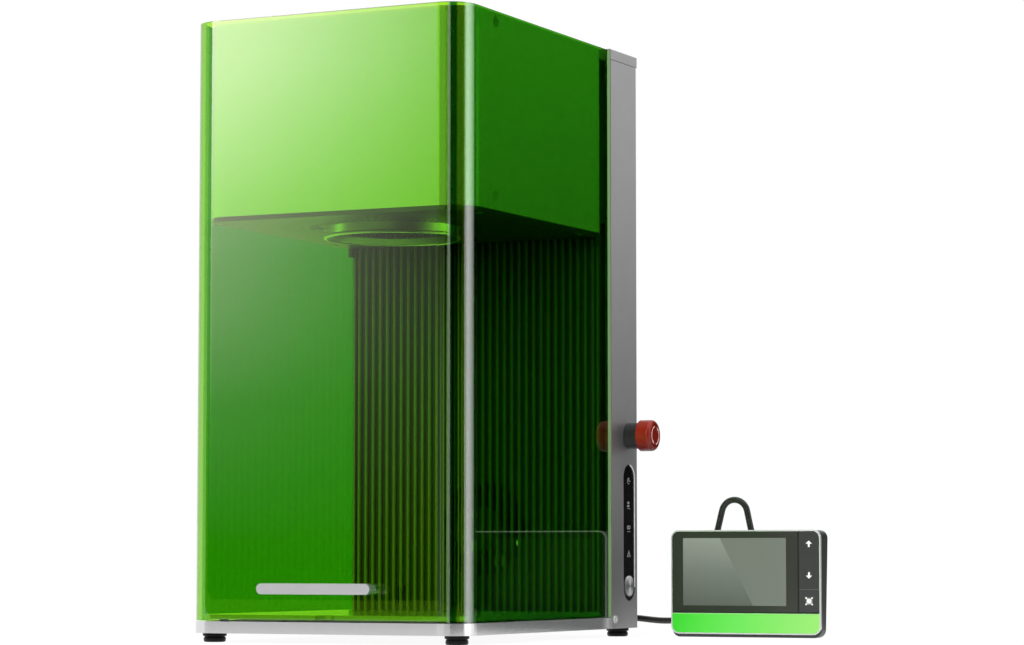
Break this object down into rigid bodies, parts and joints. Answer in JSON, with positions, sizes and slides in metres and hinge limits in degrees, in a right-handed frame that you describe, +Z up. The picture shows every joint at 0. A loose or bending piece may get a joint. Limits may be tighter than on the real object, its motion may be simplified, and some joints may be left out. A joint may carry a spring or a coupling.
{
  "type": "desktop laser cutter",
  "caption": "Desktop laser cutter: see-through lifting cover over a work bed, focusing laser head on a rear column, side emergency stop and a corded controller.",
  "frame": {"origin": "on the table, under the middle of the rigid pieces' bounding box", "axes": "+X to the machine's right, towards the controller; +Y to the back, where the column is; +Z up"},
  "size_m": [0.4504, 0.4118, 0.542],
  "materials": {
    "silver_metal": "satin anodised",
    "bed_metal": "satin",
    "steel": "brushed",
    "grey_paint": "fine matt powder coat",
    "dark_paint": "matt powder coat",
    "black_metal": "black anodised",
    "black_plastic": "moulded",
    "black_gloss": "polished",
    "red_plastic": "satin",
    "green_acrylic": "clear cast acrylic",
    "green_plastic": "gloss",
    "screen_glass": "smoked",
    "lens_glass": "coated",
    "mirror": "polished",
    "brass": "turned",
    "board": "lacquered",
    "rubber": "matt"
  },
  "bodies": {
    "base": {"base_frame": "silver_metal", "bottom_plate": "steel", "work_bed": "bed_metal", "feet": "rubber", "column_shell": "grey_paint", "column_cap": "grey_paint", "rear_panel": "dark_paint", "column_screws": "steel", "rear_screws": "steel", "back_wall": "black_metal", "cover_rails": "black_metal", "linear_rails": "steel", "screw_brackets": "dark_paint", "focus_motor": "black_metal", "fan_frame": "black_plastic", "exhaust_spigot": "black_plastic", "power_inlet": "black_plastic", "cord_gland": "rubber", "power_supply": "silver_metal", "main_board": "board", "status_strip": "black_gloss", "estop_collar": "black_plastic", "pad_cord": "rubber"},
    "cover": {"cover": "green_acrylic", "cover_channels": "silver_metal", "handle_bar": "silver_metal", "handle_posts": "silver_metal", "handle_screws": "steel"},
    "head": {"head_casing": "silver_metal", "head_plate": "dark_paint", "lens_ring": "silver_metal", "lens_barrel": "black_metal", "scan_lens": "lens_glass", "scan_block": "silver_metal", "scan_motors": "black_metal", "laser_source": "silver_metal", "head_arms": "black_metal", "focus_carriage": "silver_metal", "rail_blocks": "steel", "lead_nut": "brass", "head_screws": "steel", "head_camera": "black_gloss"},
    "screw": {"lead_screw": "steel", "screw_coupling": "silver_metal"},
    "fan": {"fan_rotor": "black_plastic"},
    "stop_stem": {"estop_stem": "black_plastic"},
    "stop_button": {"estop_button": "red_plastic"},
    "power_button": {"power_button": "steel"},
    "mains_switch": {"mains_switch": "black_gloss"},
    "mirror_x": {"scan_mirror_x": "mirror"},
    "mirror_y": {"scan_mirror_y": "mirror"},
    "controller": {"pad_shell": "dark_paint", "pad_bezel": "silver_metal", "pad_glass": "screen_glass", "pad_strip": "green_plastic", "pad_board": "board", "pad_gland": "rubber"},
    "jog_rocker": {"jog_rocker": "black_gloss"},
    "frame_key": {"frame_key": "black_gloss"}
  },
  "joints": [
    {"name": "cover_lift", "type": "slide", "parent": "base", "child": "cover", "axis": [0, 0, 1], "range_m": [0, 0.25]},
    {"name": "head_focus", "type": "slide", "parent": "base", "child": "head", "axis": [0, 0, 1], "range_m": [-0.16, 0]},
    {"name": "screw_spin", "type": "hinge", "parent": "base", "child": "screw", "pos_m": [-0.08975, 0.147, 0.3], "axis": [0, 0, 1], "range_deg": [-10, 7210]},
    {"name": "fan_spin", "type": "hinge", "parent": "base", "child": "fan", "pos_m": [-0.08475, 0.128, 0.0993], "axis": [0, 1, 0], "continuous": true},
    {"name": "stop_push", "type": "slide", "parent": "base", "child": "stop_stem", "axis": [-1, 0, 0], "range_m": [0, 0.004]},
    {"name": "stop_twist", "type": "hinge", "parent": "stop_stem", "child": "stop_button", "pos_m": [0.06425, 0.15275, 0.1852], "axis": [1, 0, 0], "range_deg": [-30, 0], "stiffness_Nm_per_rad": 0.02},
    {"name": "power_push", "type": "slide", "parent": "base", "child": "power_button", "axis": [-1, 0, 0], "range_m": [0, 0.001], "stiffness_N_per_m": 600},
    {"name": "mains_tilt", "type": "hinge", "parent": "base", "child": "mains_switch", "pos_m": [-0.16475, 0.17075, 0.046], "axis": [1, 0, 0], "range_deg": [-8, 8]},
    {"name": "mirror_x_turn", "type": "hinge", "parent": "head", "child": "mirror_x", "pos_m": [-0.08975, -0.02375, 0.4143], "axis": [0, 0, 1], "range_deg": [-12.5, 12.5]},
    {"name": "mirror_y_turn", "type": "hinge", "parent": "head", "child": "mirror_y", "pos_m": [-0.08975, -0.05375, 0.4143], "axis": [1, 0, 0], "range_deg": [-12.5, 12.5]},
    {"name": "controller_move", "type": "slide", "parent": "base", "child": "controller", "axis": [0, -1, 0], "range_m": [0, 0.04]},
    {"name": "jog_tilt", "type": "hinge", "parent": "controller", "child": "jog_rocker", "pos_m": [0.2135, 0.17725, 0.07025], "axis": [1, 0, 0], "range_deg": [-1.2, 1.2], "stiffness_Nm_per_rad": 0.8},
    {"name": "frame_press", "type": "slide", "parent": "controller", "child": "frame_key", "axis": [0, 1, 0], "range_m": [0, 0.0006], "stiffness_N_per_m": 1500}
  ],
  "couplings": [
    {"joint": "screw_spin", "follows": "head_focus", "rad_per_m": -785.4}
  ]
}
